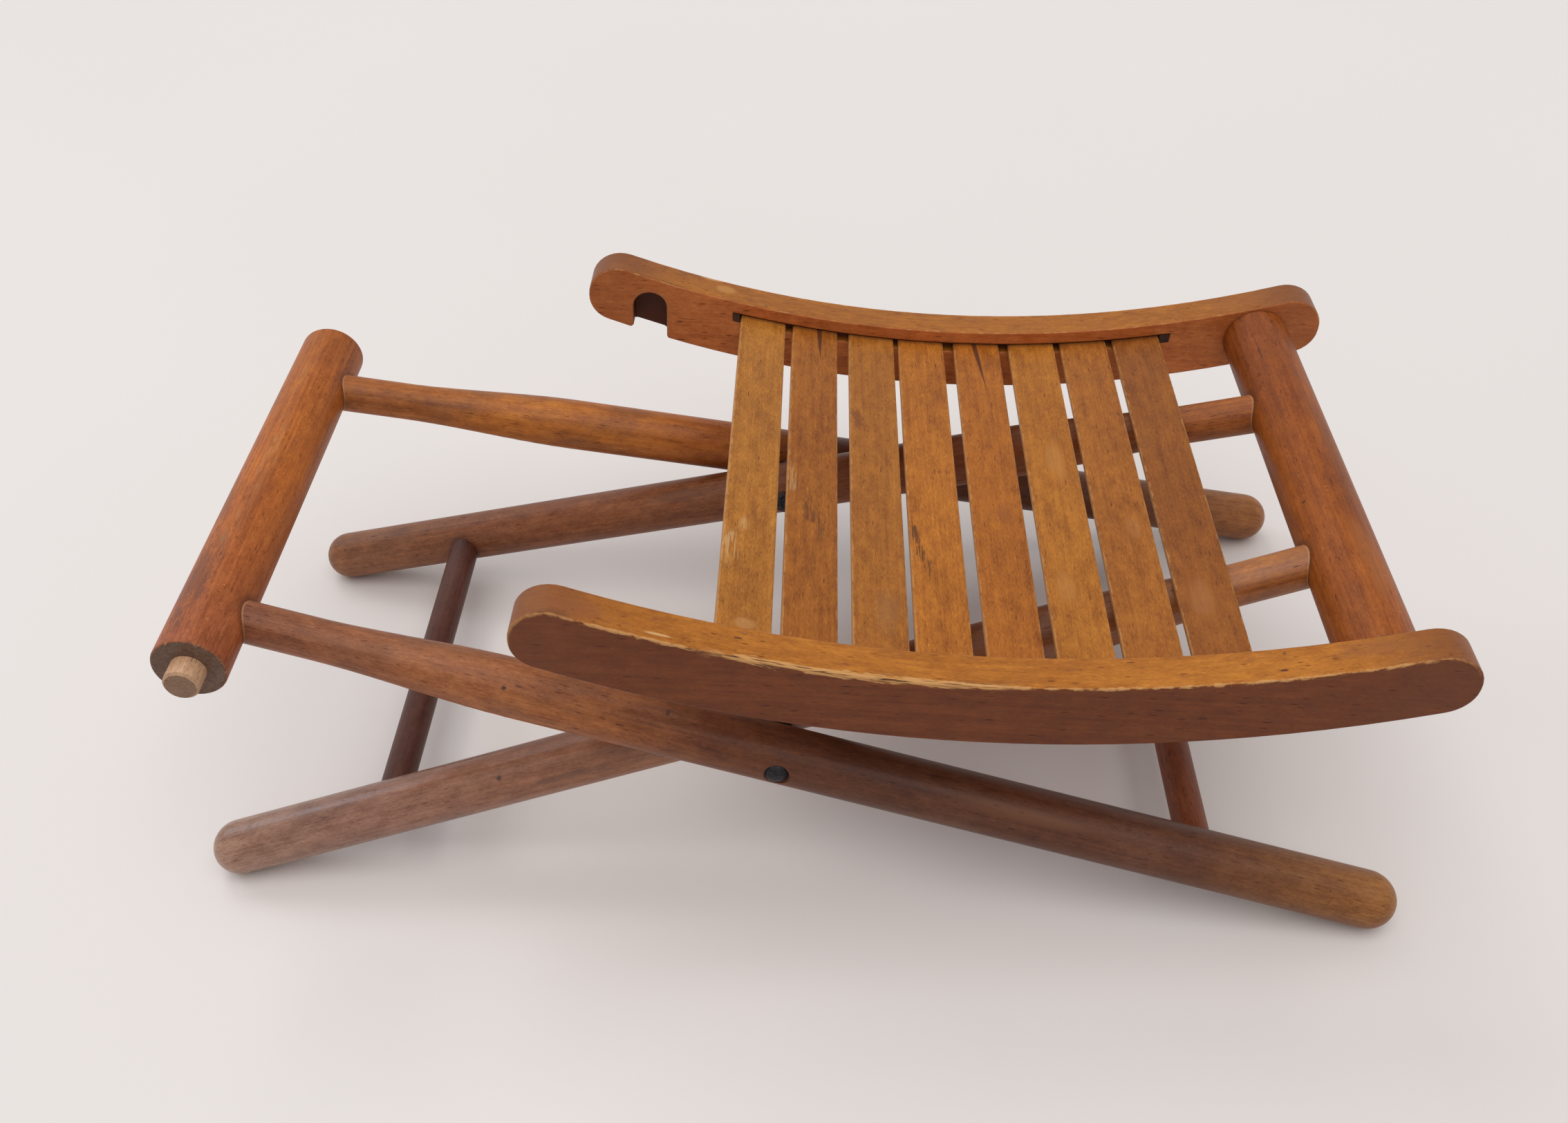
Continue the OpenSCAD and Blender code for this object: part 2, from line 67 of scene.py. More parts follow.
class Graph:
    """A material's node tree, with short calls for the nodes it is built from."""

    def __init__(self, name):
        self.material = bpy.data.materials.new(name)
        self.material.use_nodes = True
        self.tree = self.material.node_tree
        self.shader = self.tree.nodes["Principled BSDF"].inputs

    def wire(self, socket, value):
        """Links an output to a socket, or sets the socket to a constant."""
        if isinstance(value, bpy.types.NodeSocket):
            self.tree.links.new(value, socket)
        elif socket.type == "RGBA":
            socket.default_value = (*value[:3], 1)
        else:
            socket.default_value = value

    def node(self, kind, settings=None, inputs=None):
        made = self.tree.nodes.new(kind)
        for key, value in (settings or {}).items():
            setattr(made, key, value)
        for key, value in (inputs or {}).items():
            self.wire(made.inputs[key], value)
        return made

    def math(self, operation, a, b=0.0, c=0.0):
        return self.node("ShaderNodeMath", {"operation": operation}, {0: a, 1: b, 2: c}).outputs[0]

    def add(self, a, b):
        return self.math("ADD", a, b)

    def less(self, a, b):
        return self.math("SUBTRACT", a, b)

    def times(self, a, b):
        return self.math("MULTIPLY", a, b)

    def absolute(self, value):
        return self.math("ABSOLUTE", value)

    def rest(self, share):
        """What a share leaves of 1."""
        return self.less(1.0, share)

    def at_least(self, value, least):
        return self.math("MAXIMUM", value, least)

    def add_scaled(self, value, gain, base):
        return self.math("MULTIPLY_ADD", value, gain, base)

    def swayed(self, noise, gain, base):
        """A base moved up and down by a noise round 0.5."""
        return self.add_scaled(self.less(noise, 0.5), gain, base)

    def vector(self, operation, a, b=(0, 0, 0)):
        made = self.node("ShaderNodeVectorMath", {"operation": operation}, {0: a, 1: b})
        return made.outputs["Value" if operation in ("DOT_PRODUCT", "LENGTH") else "Vector"]

    def scaled(self, vector, scale):
        return self.vector("MULTIPLY", vector, scale)

    def split(self, vector):
        return self.node("ShaderNodeSeparateXYZ", None, {0: vector}).outputs

    def join(self, x, y, z):
        return self.node("ShaderNodeCombineXYZ", None, {0: x, 1: y, 2: z}).outputs[0]

    def noise(self, vector, scale, detail=2.0, roughness=0.5):
        """Noise with a scale in cells per unit of the vector, along each axis."""
        inputs = {"Vector": self.scaled(vector, scale), "Scale": 1.0, "Detail": detail,
                  "Roughness": roughness}
        return self.node("ShaderNodeTexNoise", None, inputs).outputs["Fac"]

    def range(self, value, low, high, out_low=0.0, out_high=1.0):
        """Runs smoothly from out_low, below low, to out_high, above high."""
        inputs = {"Value": value, "From Min": low, "From Max": high, "To Min": out_low,
                  "To Max": out_high}
        settings = {"interpolation_type": "SMOOTHSTEP", "clamp": True}
        return self.node("ShaderNodeMapRange", settings, inputs).outputs["Result"]

    def fade(self, value, low, high):
        """Runs smoothly from 1, below low, to 0, above high."""
        return self.range(value, low, high, 1.0, 0.0)

    def mix(self, share, a, b, blend="MIX"):
        made = self.node("ShaderNodeMix", {"data_type": "RGBA", "blend_type": blend})
        for socket, value in (("Factor", share), (6, a), (7, b)):
            self.wire(made.inputs[socket], value)
        return made.outputs[2]

    def ramp(self, value, stops):
        """A colour that runs through stops of (place, colour)."""
        made = self.node("ShaderNodeValToRGB", None, {0: value})
        elements = made.color_ramp.elements
        while len(elements) < len(stops):
            elements.new(1.0)
        for element, (place, colour) in zip(elements, stops):
            element.position = place
            element.color = (*colour, 1)
        return made.outputs["Color"]

    def dashes(self, place, length, width, share):
        """Short marks along X, length by width millimetres, in share of their cells."""
        radius = 0.17
        scale = (2 * radius / length, 2 * radius / width, 2 * radius / width)
        inputs = {"Vector": self.scaled(place, scale), "Scale": 1.0}
        cell = self.node("ShaderNodeTexVoronoi", None, inputs).outputs
        near = self.fade(cell["Distance"], 0.6 * radius, 1.4 * radius)
        chance = self.split(cell["Color"])[0]
        return self.times(near, self.range(chance, 1 - share, 1.12 - share))

    def bump(self, height, distance):
        """Wires a height to the shader's normal, its full range a distance in metres."""
        made = self.node("ShaderNodeBump", None, {"Distance": distance, "Height": height})
        self.wire(self.shader["Normal"], made.outputs["Normal"])

    def normal_along(self, axis):
        """How squarely a face looks along an axis, from 0 to 1."""
        normal = self.node("ShaderNodeTexCoord").outputs["Normal"]
        return self.absolute(self.vector("DOT_PRODUCT", normal, tuple(axis)))

    def end_face(self, axis):
        """1 on the faces square to an axis."""
        return self.range(self.normal_along(axis), 0.6, 0.85)

    def line_distance(self, origin, along):
        """Millimetres from a straight line."""
        place = self.node("ShaderNodeTexCoord").outputs["Object"]
        offset = self.scaled(self.vector("SUBTRACT", place, tuple(origin)), (1 / MM,) * 3)
        return self.vector("LENGTH", self.vector("CROSS_PRODUCT", offset, tuple(along.normalized())))


def srgb(red, green, blue):
    """Linear colour of an 8-bit screen colour."""
    def linear(value):
        value /= 255
        return value / 12.92 if value <= 0.04045 else ((value + 0.055) / 1.055) ** 2.4
    return tuple(linear(value) for value in (red, green, blue))


def grain_axes(along, side):
    """Unit axes: X along the grain, Y to the side and Z square to both."""
    x = along.normalized()
    z = x.cross(side).normalized()
    return x, z.cross(x), z


def grain_place(graph, origin, along, side):
    """Coordinates on the grain's axes, in millimetres."""
    place = graph.node("ShaderNodeTexCoord").outputs["Object"]
    offset = graph.vector("SUBTRACT", place, tuple(origin))
    parts = [graph.vector("DOT_PRODUCT", offset, tuple(axis / MM)) for axis in grain_axes(along, side)]
    return graph.join(*parts)


# Powers of a shade's green and blue, which redden the wood where it is darker
GREEN_POWER, BLUE_POWER = 1.32, 1.6
DARKEST = 0.15
# Full range of the fine relief in a surface
WOOD_RELIEF, STEEL_RELIEF = 0.14 * MM, 0.25 * MM


def shaded(graph, colour, value):
    """A colour times a value, redder where it is darker and yellower where it is lighter."""
    green = graph.math("POWER", value, GREEN_POWER)
    blue = graph.math("POWER", value, BLUE_POWER)
    return graph.mix(1.0, colour, graph.join(value, green, blue), "MULTIPLY")


def beech(graph, grain, colour, seed, mottle=1.0, speckle=1.0, figure=1.0, ticks=0.2, flecks=0.35,
          tick_size=(3.4, 0.42), pale_share=0.2):
    """Aged beech under varnish: colour, roughness and height from grain coordinates in millimetres.

    Cloudy mottling, growth lines, a fine speckle of fibres, long dark ticks and short ray flecks.
    The seed moves the pattern, and the noises' scales are in cells per millimetre.
    """
    place = graph.vector("ADD", grain, (seed * 37.7, seed * 11.3, seed * 23.9))
    broad = graph.noise(place, (0.014, 0.05, 0.05))
    cloud = graph.noise(place, (0.09, 0.2, 0.2), 4.0, 0.62)
    line = graph.noise(place, (0.015, 0.62, 0.62), 3.0, 0.6)
    speck = graph.noise(place, (0.45, 1.9, 1.9), 2.0, 0.7)
    tick = graph.dashes(place, *tick_size, ticks)
    fleck = graph.dashes(place, 1.7, 0.34, flecks)
    pale = graph.dashes(graph.vector("ADD", place, (51, 17, 9)), 1.9, 0.45, pale_share)

    value = 1.0
    gains = (0.5 * mottle, 1.05 * mottle, 0.6 * figure, 0.85 * speckle)
    for part, gain in zip((broad, cloud, line, speck), gains):
        value = graph.swayed(part, gain, value)
    value = graph.add_scaled(tick, -0.5, value)
    value = graph.add_scaled(fleck, -0.3 * speckle, value)
    value = graph.add_scaled(pale, 0.28, value)
    value = graph.at_least(value, DARKEST)

    height = graph.add_scaled(speck, 0.5, 0.3)
    height = graph.add_scaled(tick, -0.4, height)
    height = graph.add_scaled(fleck, -0.2, height)
    rough = graph.swayed(cloud, 0.3, 0.44)
    rough = graph.add_scaled(tick, 0.15, rough)
    return {"colour": shaded(graph, colour, value), "rough": rough, "height": height,
            "cloud": cloud, "speck": speck, "place": place}


def stain(graph, made, mask, colour, strength=1.0, rough=0.0, sink=0.0):
    """Lays a colour over a wood where the mask is 1, rougher and sunk by the given amounts."""
    share = graph.times(mask, strength)
    made["colour"] = graph.mix(share, made["colour"], colour)
    if rough:
        made["rough"] = graph.add_scaled(share, rough, made["rough"])
    if sink:
        made["height"] = graph.add_scaled(share, -sink, made["height"])


def blot(graph, made, grain, middle, size, ragged=0.8, streaky=False):
    """An oval mask with a ragged rim, at a place and of a half-size in grain millimetres."""
    offset = graph.scaled(graph.vector("SUBTRACT", grain, middle), tuple(1 / half for half in size))
    reach = graph.vector("LENGTH", offset)
    reach = graph.swayed(made["cloud"], 2.2 * ragged, reach)
    reach = graph.swayed(made["speck"], 1.6 * ragged, reach)
    mask = graph.fade(reach, 0.5, 1.1)
    if streaky:
        streaks = graph.noise(made["place"], (0.07, 1.1, 1.1), 2.0, 0.6)
        mask = graph.times(mask, graph.range(streaks, 0.45, 0.56))
    return mask


def finish(graph, made, gloss=0.22):
    """Wires a wood's colour, roughness and height to the shader."""
    graph.wire(graph.shader["Base Color"], made["colour"])
    graph.wire(graph.shader["Roughness"], made["rough"])
    graph.bump(made["height"], WOOD_RELIEF)
    graph.shader["Specular IOR Level"].default_value = gloss
    return graph.material


def dress(node, material):
    """Gives a CAD node its material."""
    slots = nodes[node].data.materials
    slots.clear()
    slots.append(material)


def ease(node, width):
    """Rounds a CAD node's sharp edges by a width in millimetres."""
    stack = nodes[node].modifiers
    stack.new("joined", "WELD").merge_threshold = 0.001 * MM
    flat = stack.new("flat", "DECIMATE")
    flat.decimate_type = "DISSOLVE"
    flat.angle_limit = math.radians(0.1)
    bevel = stack.new("eased", "BEVEL")
    bevel.width = width * MM
    bevel.segments = 2
    bevel.use_clamp_overlap = False
    bevel.limit_method = "ANGLE"
    bevel.angle_limit = math.radians(40)
    stack.new("shaded", "WEIGHTED_NORMAL")


# Colours of wear and dirt
PALE = srgb(212, 158, 98)
CHIP = srgb(222, 182, 128)
DIRT = srgb(58, 36, 27)
TORN = srgb(72, 42, 26)
CRACK = srgb(66, 30, 18)
END_GRAIN = srgb(112, 86, 70)


def worn_edge(graph, made, distance, grain, width, strength):
    """A pale ragged line along an edge, from the millimetres to that edge."""
    ragged = graph.noise(grain, (0.22, 0.5, 0.5), 3.0, 0.6)
    reach = graph.swayed(ragged, -3.2 * width, distance)
    stain(graph, made, graph.fade(reach, 0.35 * width, 1.1 * width), PALE, strength, rough=0.1)


SLAT_TONES = {
    1: srgb(170, 108, 41), 2: srgb(153, 89, 29), 3: srgb(158, 96, 35), 4: srgb(170, 101, 33),
    5: srgb(162, 93, 29), 6: srgb(167, 102, 34), 7: srgb(155, 91, 31), 8: srgb(139, 79, 27),
}
# Marks on the slats: along the slat from its middle, across it, half length, half width, colour and
# strength
SLAT_MARKS = {
    1: [(-63.8, -8.6, 11, 4.0, CHIP, 0.5), (-110, 0, 3.6, 5.0, PALE, 0.4),
        (-47, -3, 6, 3, CHIP, 0.35), (30, 3, 16, 5, srgb(140, 84, 40), 0.35)],
    2: [(-30, 0, 12, 4.5, TORN, 0.6), (-42, 3.5, 8, 3, TORN, 0.5), (-7, -10, 12, 3.5, CHIP, 0.35)],
    3: [(46, -8.2, 8, 3.0, srgb(120, 66, 36), 0.7), (-90, 3, 14, 6, srgb(146, 100, 62), 0.4)],
    4: [(-38, -9.6, 9, 2.4, TORN, 0.8), (-50, -7.6, 9, 2.6, TORN, 0.75), (-60, -5, 8, 2.2, TORN, 0.7)],
    5: [(-18, 3, 9, 4, srgb(146, 84, 42), 0.45), (60, 4, 14, 0.5, TORN, 0.5)],
    6: [(20, 2, 16, 5, srgb(200, 138, 72), 0.4), (-70, -4, 10, 4, srgb(196, 134, 70), 0.35)],
    7: [(-30, 4, 10, 4, srgb(190, 128, 72), 0.3)],
    8: [(-80, -2, 14, 6, srgb(186, 126, 78), 0.3), (31, -8, 8, 3, srgb(120, 72, 44), 0.35)],
}
# Cracks from the slats' far ends: length, place across the slat, and drift across it per millimetre
SLAT_CRACKS = {2: (30, 2.2, 0.03), 5: (48, -1.0, 0.09)}


def crack(graph, along, side, length, place, drift):
    """A wedge that is 1.3 mm wide each way at the slat's far end and nothing at its tip."""
    inward = graph.less(SLAT_HALF_L, along)
    offset = graph.add_scaled(inward, -drift, graph.less(side, place))
    half_width = graph.range(inward, 0, length, 1.3, 0.0)
    mask = graph.fade(graph.less(graph.absolute(offset), half_width), -0.3, 0.25)
    return graph.times(mask, graph.fade(inward, 0.9 * length, length))


def slat(index):
    name = f"slat_{index}"
    middle = centre(name)
    lean = math.asin((middle - SEAT_ORIGIN).dot(SEAT_X) / MM / RAIL_R)
    across = SEAT_X * math.cos(lean) + SEAT_Z * math.sin(lean)
    graph = Graph(name + "_beech")
    grain = grain_place(graph, middle, Y_AXIS, across)
    along, side, _ = graph.split(grain)
    made = beech(graph, grain, SLAT_TONES[index], index, mottle=0.95, speckle=1.2,
                 ticks=0.2, flecks=0.45, pale_share=0.45)
    for x, y, length, width, colour, strength in SLAT_MARKS[index]:
        mask = blot(graph, made, grain, (x, y, 0), (length, width, 40), streaky=colour in (CHIP, TORN))
        stain(graph, made, mask, colour, strength, rough=0.08)
    if index in SLAT_CRACKS:
        mask = crack(graph, along, side, *SLAT_CRACKS[index])
        stain(graph, made, mask, CRACK, 0.85, rough=0.1, sink=0.6)
    edge = graph.less(SLAT_HALF_W, graph.absolute(side))
    worn_edge(graph, made, edge, grain, width=0.7, strength=0.5)
    by_rail = graph.range(graph.absolute(along), SLAT_HALF_L - 2.5, SLAT_HALF_L + 1.5)
    stain(graph, made, by_rail, DIRT, 0.55)
    return finish(graph, made)


RAIL_TOPS = {"near": srgb(176, 107, 36), "far": srgb(163, 98, 34)}
# Side-face tones: the outer face darker, partly its own darker varnish and partly painted shade; the
# inner face lighter than the top, with painted light
RAIL_OUTER_FACE_AND_SHADE = srgb(109, 54, 21)
RAIL_INNER_FACE_AND_LIGHT = srgb(186, 106, 54)
HANDLED = srgb(112, 63, 40)
SMEAR = srgb(140, 82, 42)
NOTCH_RIM = srgb(168, 104, 62)
# The dark inside the hook notch is painted shade
NOTCH_WALL_SHADE = srgb(76, 40, 26)
SCRATCH = srgb(62, 32, 20)
# Marks on the rail tops: along the rail and across it, both from the seat's middle, half length, half
# width, colour and strength
RAIL_MARKS = {
    "near": [(-100.5, 126.4, 2.2, 0.7, TORN, 0.95), (115.4, 132.3, 2.0, 0.8, TORN, 0.9),
             (-166, 130, 14, 7, srgb(146, 86, 50), 0.55), (-172, 136, 8, 3, srgb(110, 66, 44), 0.5),
             (-132, 133.6, 6, 0.9, CHIP, 0.7), (150, 126, 18, 5, srgb(150, 92, 52), 0.4)],
    "far": [(-119.9, 129.6, 6, 4.0, srgb(206, 152, 84), 0.5),
            (-139, 136, 9, 2.2, srgb(120, 74, 44), 0.6),
            (-128, 136.5, 7, 1.6, CHIP, 0.5), (-174, 124, 9, 5, srgb(150, 88, 46), 0.5),
            (-148, 120, 8, 1.6, srgb(84, 44, 26), 0.6), (150, 130, 20, 6, srgb(156, 96, 52), 0.4)],
}


def below_top(graph, along, up):
    """Millimetres from the rail's top outline: its long curve, and the corner at each end."""
    out = graph.absolute(along)
    to_curve = graph.vector("LENGTH", graph.join(along, graph.less(up, RAIL_R - RAIL_SAG), 0))
    from_curve = graph.less(to_curve, RAIL_R)
    above = graph.at_least(graph.less(up, CORNER_Z), 0.0)
    corner = graph.vector("LENGTH", graph.join(graph.less(out, CORNER_X), above, 0))
    from_corner = graph.less(CORNER_R, corner)
    at_end = graph.math("GREATER_THAN", out, CORNER_TOUCH)
    either = graph.add(graph.times(from_corner, at_end), graph.times(from_curve, graph.rest(at_end)))
    return graph.at_least(either, 0.0)


def tear(graph, made, along, distance, grain):
    """The near rail's outer arris, torn pale along the middle, with dark lines in the tear."""
    stretch = graph.times(graph.range(along, -118, -100), graph.fade(along, 0, 14))
    ragged = graph.noise(grain, (0.09, 0.5, 0.5), 3.0, 0.65)
    torn = graph.times(graph.fade(graph.swayed(ragged, -6.8, distance), 1.5, 2.4), stretch)
    stain(graph, made, torn, PALE, 0.85, rough=0.15)
    lines = graph.range(graph.noise(grain, (0.05, 1.1, 1.1), 2.0, 0.6), 0.56, 0.62)
    stain(graph, made, graph.times(lines, torn), TORN, 0.95, rough=0.1, sink=0.6)


def notch_wear(graph, made, grain, depth, face, from_notch):
    """A rubbed rim round the far rail's notch, and fine dark scratches beside it."""
    reach = graph.add_scaled(made["cloud"], 2.0, from_notch)
    inner_face = graph.times(face, graph.fade(depth, RAIL_INNER + 1, RAIL_INNER + 5))
    rim = graph.times(graph.fade(reach, NOTCH_R + 1.2, NOTCH_R + 4), inner_face)
    stain(graph, made, rim, NOTCH_RIM, 0.55)
    scratch = graph.range(graph.noise(grain, (0.03, 1.4, 1.4)), 0.6, 0.68)
    zone = blot(graph, made, grain, (-134, 120, -4), (15, 8, 6), ragged=0.3)
    stain(graph, made, graph.times(scratch, zone), SCRATCH, 0.7)


def rail(side):
    sign = 1 if side == "far" else -1
    graph = Graph(f"rail_{side}_beech")
    place = grain_place(graph, SEAT_ORIGIN, SEAT_X, Y_AXIS)
    along, across, up = graph.split(place)
    depth = graph.times(across, sign)
    grain = graph.join(along, depth, up)

    # Tops and side faces: the outer face's dark tone is partly painted shade, the inner face's light
    # tone has painted light in it
    face = graph.range(graph.normal_along(Y_AXIS), 0.35, 0.8)
    upper = graph.rest(face)
    inward = graph.fade(depth, RAIL_INNER + 0.5, RAIL_INNER + 4)
    tone = graph.mix(face, RAIL_TOPS[side], graph.mix(inward, RAIL_OUTER_FACE_AND_SHADE, RAIL_INNER_FACE_AND_LIGHT))
    made = beech(graph, grain, tone, SEEDS["rail"] + sign, mottle=0.8, speckle=0.8, ticks=0.5,
                 flecks=0.3, tick_size=(3.8, 0.62), pale_share=0.35)

    # Darker ends, where hands hold the rail, with specks of dirt
    out = graph.absolute(along)
    handled = graph.range(graph.swayed(made["cloud"], 60.0, out), 138, 182)
    handled = graph.times(handled, graph.rest(graph.times(face, 0.6)))
    stain(graph, made, handled, HANDLED, 0.7)
    specks = graph.dashes(graph.vector("ADD", grain, (5, 31, 12)), 1.7, 0.9, 0.3)
    stain(graph, made, graph.times(specks, handled), DIRT, 0.55, rough=0.1, sink=0.3)
    for x, y, length, width, colour, strength in RAIL_MARKS[side]:
        mask = blot(graph, made, grain, (x, y, 0), (length, width, 60), ragged=0.4)
        stain(graph, made, graph.times(mask, upper), colour, strength, rough=0.08, sink=0.3)
    smear = graph.range(graph.noise(grain, (0.05, 0.3, 0.3), 3.0, 0.6), 0.56, 0.7)
    stain(graph, made, graph.times(smear, upper), SMEAR, 0.45)

    # Worn arrises, the outer one less so at its ends
    top = below_top(graph, along, up)
    edge_grain = graph.join(along, top, depth)
    outer = graph.add(top, graph.less(RAIL_OUTER, depth))
    inner = graph.add(top, graph.less(depth, RAIL_INNER))
    outer_wear = graph.less(0.78, graph.times(graph.range(out, 150, 185), 0.4))
    worn_edge(graph, made, outer, edge_grain, width=1.0, strength=outer_wear)
    worn_edge(graph, made, inner, edge_grain, width=0.6, strength=0.6)

    notch = graph.join(graph.less(along, NOTCH_X), graph.at_least(up, 0.0), 0)
    from_notch = graph.vector("LENGTH", notch)
    if side == "near":
        tear(graph, made, along, outer, edge_grain)
    else:
        notch_wear(graph, made, grain, depth, face, from_notch)
    # Painted shade on the walls inside each rail's notch
    notch_shade = graph.range(depth, RAIL_INNER + 1.2, RAIL_INNER + 3)
    notch_shade = graph.times(notch_shade, graph.fade(depth, NOTCH_FLOOR, NOTCH_FLOOR + 1))
    notch_shade = graph.times(notch_shade, graph.fade(from_notch, NOTCH_R + 0.3, NOTCH_R + 1.3))
    stain(graph, made, notch_shade, NOTCH_WALL_SHADE, 0.85)
    return finish(graph, made)


# Colours along each bar from its near end to its far one, and the tone of its darker patches
BAR_TONES = {
    "crossbar_hook": ([(0.0, srgb(161, 89, 55)), (0.22, srgb(169, 93, 45)), (0.5, srgb(178, 98, 38)),
                       (1.0, srgb(165, 91, 35))], srgb(143, 78, 40)),
    "crossbar_seat": ([(0.0, srgb(153, 82, 32)), (0.5, srgb(144, 74, 22)), (1.0, srgb(135, 68, 23))],
                      srgb(116, 60, 25)),
}
# Marks on the bars: along the bar, towards +X and down from its middle, three half sizes, colour and
# strength
BAR_MARKS = {
    "crossbar_hook": [
        (-77, -6, -16, 30, 8, 10, srgb(104, 68, 54), 0.55), (75, -1, -16, 16, 3.5, 6, PALE, 0.25),
        (10, 2, -16, 34, 4, 6, PALE, 0.22), (-46, 0, -16, 16, 3, 6, PALE, 0.2),
        (-24, -9, -13, 24, 4, 6, srgb(112, 74, 56), 0.4),
        (60, -11, -11, 20, 3, 6, srgb(116, 76, 54), 0.4)],
    "crossbar_seat": [
        (85, -7.5, -14, 10, 0.5, 6, TORN, 0.8), (-29.8, -12, -11, 1.0, 0.8, 4, DIRT, 0.9),
        (20, 8, -14, 30, 5, 8, srgb(128, 76, 44), 0.4),
        (-70, 4, -15, 26, 5, 8, srgb(176, 112, 60), 0.3)],
}
SAW_MARKS = srgb(78, 58, 48)
NICK = srgb(84, 54, 38)


def bar(name, legs, seed):
    middle = centre(name)
    graph = Graph(name + "_beech")
    grain = grain_place(graph, middle, Y_AXIS, X_AXIS)
    along, across, down = graph.split(grain)
    end = graph.end_face(Y_AXIS)
    patch = graph.range(graph.noise(grain, (0.02, 0.06, 0.06), 3.0, 0.6), 0.5, 0.72)
    stops, dark = BAR_TONES[name]
    tone = graph.ramp(graph.add_scaled(along, 0.5 / BAR_HALF, 0.5), stops)
    tone = graph.mix(graph.times(patch, 0.6), tone, dark)
    made = beech(graph, grain, graph.mix(end, tone, END_GRAIN), seed, mottle=0.9, speckle=1.1,
                 figure=1.7, ticks=0.45, flecks=0.5)
    for x, y, z, length, width, deep, colour, strength in BAR_MARKS[name]:
        mask = blot(graph, made, grain, (x, y, z), (length, width, deep), ragged=1.0,
                    streaky=colour == PALE)
        stain(graph, made, mask, colour, strength, rough=0.05)

    # Short pale ray flecks across the grain, in patches
    rays = graph.dashes(graph.join(across, along, down), 3.2, 0.7, 0.3)
    patches = graph.range(graph.noise(grain, (0.03, 0.05, 0.05)), 0.48, 0.62)
    stain(graph, made, graph.times(graph.times(rays, patches), graph.rest(end)), PALE, 0.4)

    # A ring of dirt round each leg, on the side that the leg leaves from
    for leg_name in legs:
        origin, axis = leg_line(leg_name)
        toward = graph.vector("DOT_PRODUCT", grain, (0, axis.x, -axis.z))
        ring = graph.fade(graph.line_distance(origin, axis), *LEG_RING)
        stain(graph, made, graph.times(ring, graph.range(toward, 0.0, 4.0)), DIRT, 0.45)

    # Saw marks on the ends, then worn rims with small nicks
    saw = graph.range(graph.noise(grain, (0.1, 0.35, 2.2), 2.0, 0.6), 0.42, 0.62)
    stain(graph, made, graph.times(end, saw), SAW_MARKS, 0.6, sink=0.4)
    inside = graph.at_least(graph.less(BAR_R, graph.line_distance(middle, Y_AXIS)), 0.0)
    rim = graph.add(graph.less(BAR_HALF, graph.absolute(along)), inside)
    worn_edge(graph, made, rim, grain, width=0.7, strength=0.45)
    nick = graph.range(graph.noise(grain, (0.3, 0.35, 0.35), 2.0, 0.6), 0.55, 0.6)
    nick = graph.times(nick, graph.fade(rim, 0.8, 2.6))
    stain(graph, made, nick, NICK, 0.45, rough=0.1, sink=0.5)
    return finish(graph, made, gloss=0.2)


# Colours down each leg, from the bar to the foot. On the outer legs the dark stretch from about 0.4 to
# 0.9, past the rivet, is painted shadow of the seat.
LEG_TONES_AND_SHADOW = {
    "outer_leg_near": [
        (0.0, srgb(136, 80, 52)), (0.12, srgb(146, 88, 54)), (0.3, srgb(159, 94, 50)),
        (0.4, srgb(112, 63, 36)), (0.52, srgb(88, 48, 28)), (0.8, srgb(92, 52, 32)),
        (1.0, srgb(153, 98, 48))],
    "outer_leg_far": [
        (0.0, srgb(157, 90, 40)), (0.2, srgb(174, 102, 38)), (0.42, srgb(153, 84, 34)),
        (0.52, srgb(82, 42, 26)), (0.8, srgb(104, 59, 32)), (0.9, srgb(131, 79, 42)),
        (1.0, srgb(159, 102, 52))],
    "inner_leg_near": [
        (0.0, srgb(158, 92, 34)), (0.3, srgb(138, 84, 48)), (0.6, srgb(142, 88, 56)),
        (0.85, srgb(138, 96, 78)), (1.0, srgb(167, 127, 104))],
    "inner_leg_far": [
        (0.0, srgb(152, 82, 28)), (0.3, srgb(131, 75, 42)), (0.6, srgb(131, 77, 44)),
        (0.8, srgb(125, 75, 48)), (1.0, srgb(148, 98, 66))],
}
# Marks on the legs: place in the CAD frame, half length, half width, colour and strength. On the near
# outer leg the dark band just past the rivet is painted shadow of the seat, and the lighter band
# further down is a painted patch of light.
LEG_MARKS_AND_PAINTED_LIGHT = {
    "outer_leg_near": [
        ((-118, -108, 126), 1.6, 1.2, DIRT, 0.9), ((-47, -109, 111), 1.2, 2.0, DIRT, 0.8),
        ((10, -122, 95), 20, 4, srgb(92, 58, 42), 0.4),
        ((110, -128, 64), 40, 4, srgb(140, 94, 64), 0.3)],
    "outer_leg_far": [],
    "inner_leg_near": [
        ((-132, -103.5, 59.5), 1.6, 1.4, DIRT, 0.9),
        ((-100, -105, 62), 24, 2.5, srgb(92, 60, 46), 0.5),
        ((-205, -112, 36), 34, 1.1, srgb(70, 42, 32), 0.75)],
    "inner_leg_far": [((-60, 80, 80), 20, 4, srgb(96, 60, 42), 0.4)],
}
# How much smoother and glossier each leg is towards its foot
POLISH = {"outer_leg_near": 0.0, "outer_leg_far": 0.0, "inner_leg_near": 0.16, "inner_leg_far": 0.0}
LEG_PATCH = srgb(104, 66, 48)
DENT = srgb(70, 46, 38)
SEAM = srgb(190, 140, 98)
# The foot's dome: its colour, and how strongly it shows on each frame's legs
DOME = srgb(164, 128, 98)
DOME_STRENGTH = {"outer": 0.2, "inner": 0.35}


# Where a ring of dirt round a leg's root, a rivet or a stretcher fades, from its axis
LEG_RING, RIVET_RING, STRETCHER_RING = (9.8, 13.5), (4.4, 6.2), (8.0, 11.0)


